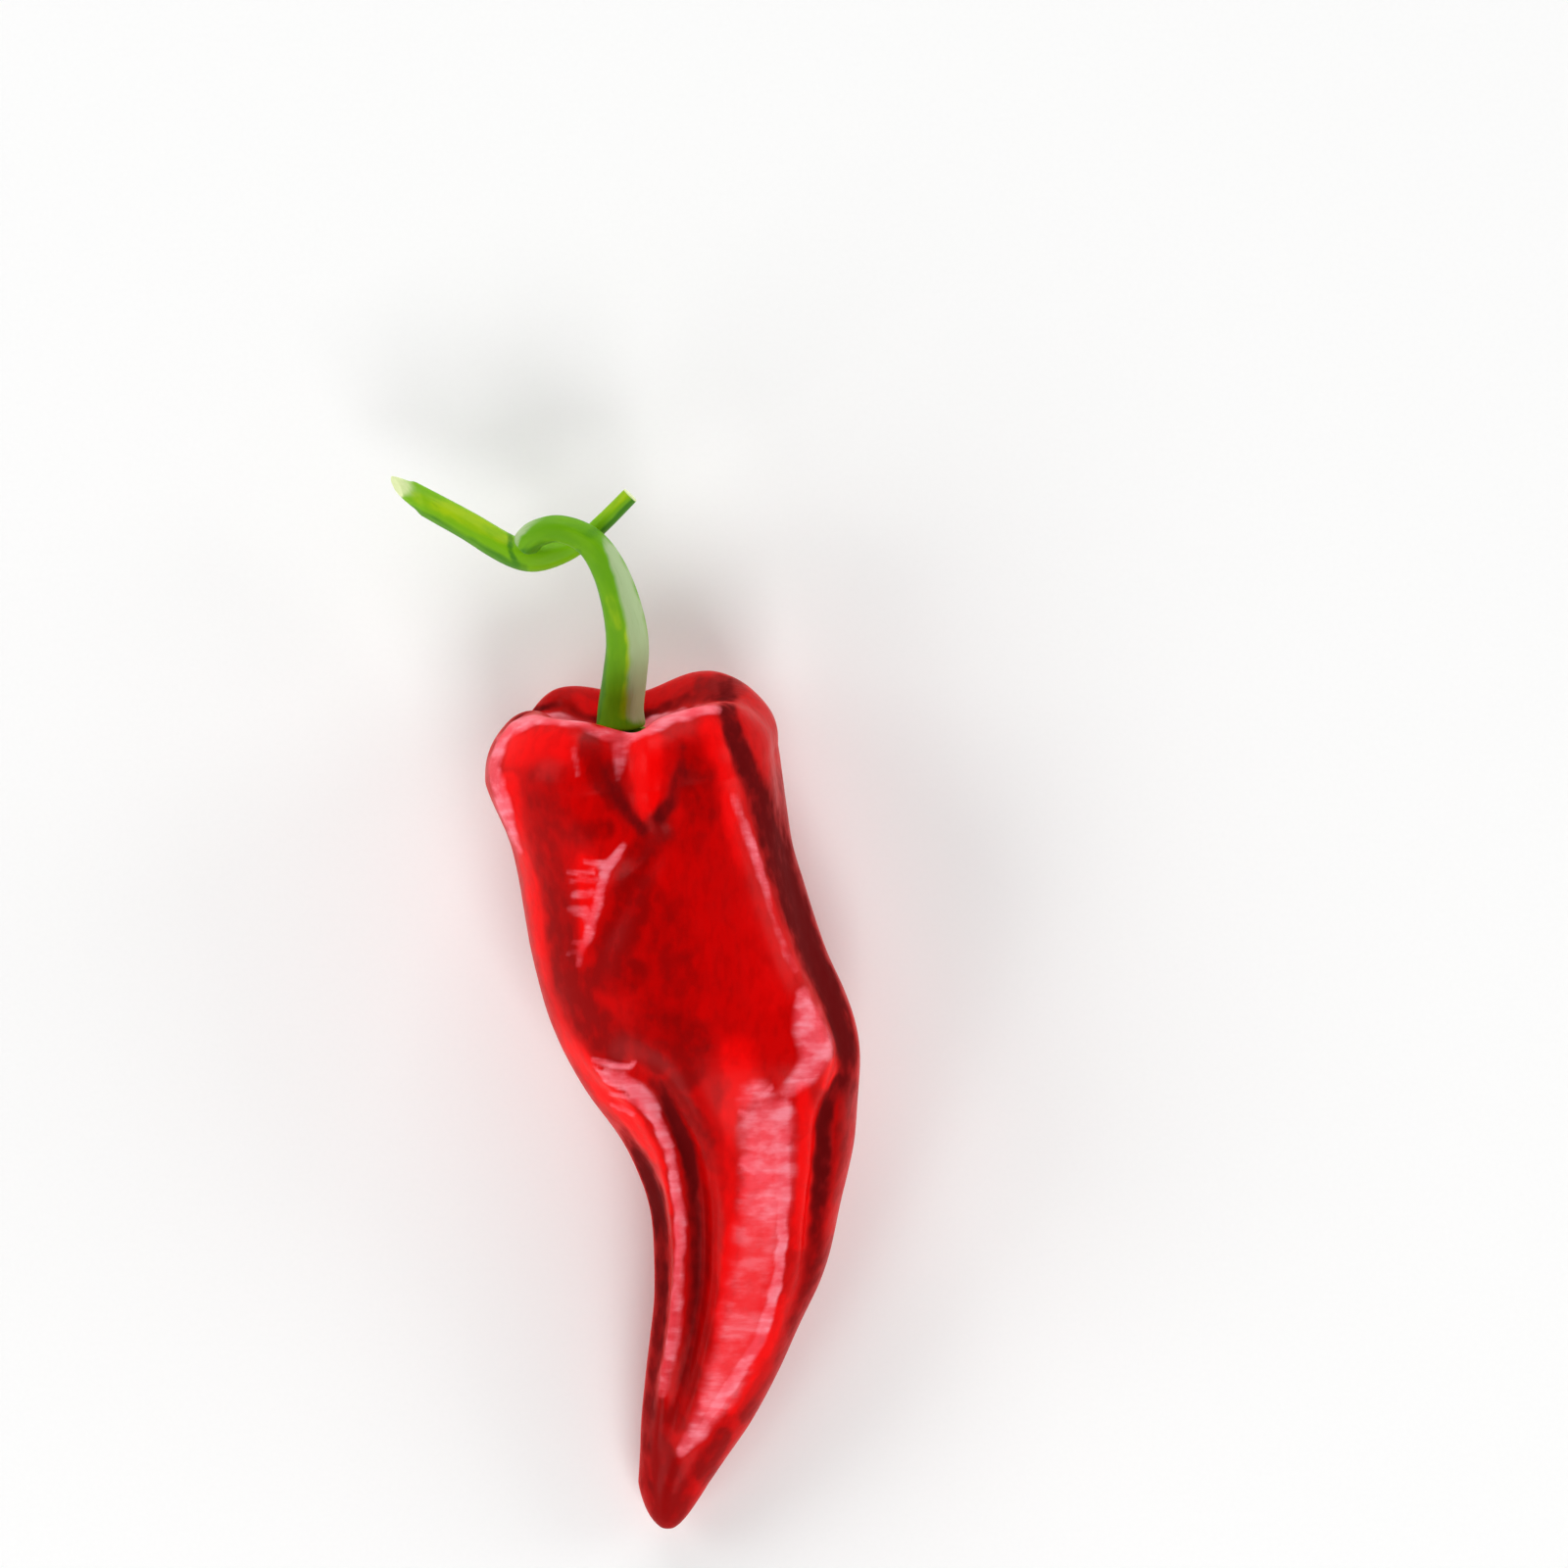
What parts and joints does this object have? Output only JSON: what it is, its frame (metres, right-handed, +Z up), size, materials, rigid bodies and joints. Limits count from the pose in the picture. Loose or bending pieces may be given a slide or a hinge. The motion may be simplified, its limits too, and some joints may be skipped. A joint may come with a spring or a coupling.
{
  "type": "chilli pepper",
  "caption": "Long curved red chilli pepper lying on its side, with a dimpled lobed crown, a hooked green stalk and a short snipped piece of its twig.",
  "frame": {"origin": "on the surface the pepper lies on, under the middle of its bounding box", "axes": "+Y from the pod's tip towards its crown and stalk, +X to the right seen from above with the crown away from the viewer, +Z up"},
  "size_m": [0.0595, 0.1352, 0.0308],
  "materials": {
    "pod": "glossy waxy skin",
    "calyx": "satin, slightly ribbed",
    "stalk": "satin, with a pale dry stripe",
    "twig": "satin, pale at the cut ends"
  },
  "bodies": {
    "root": {"pod": "pod", "calyx": "calyx", "stalk": "stalk", "twig": "twig"}
  },
  "joints": []
}
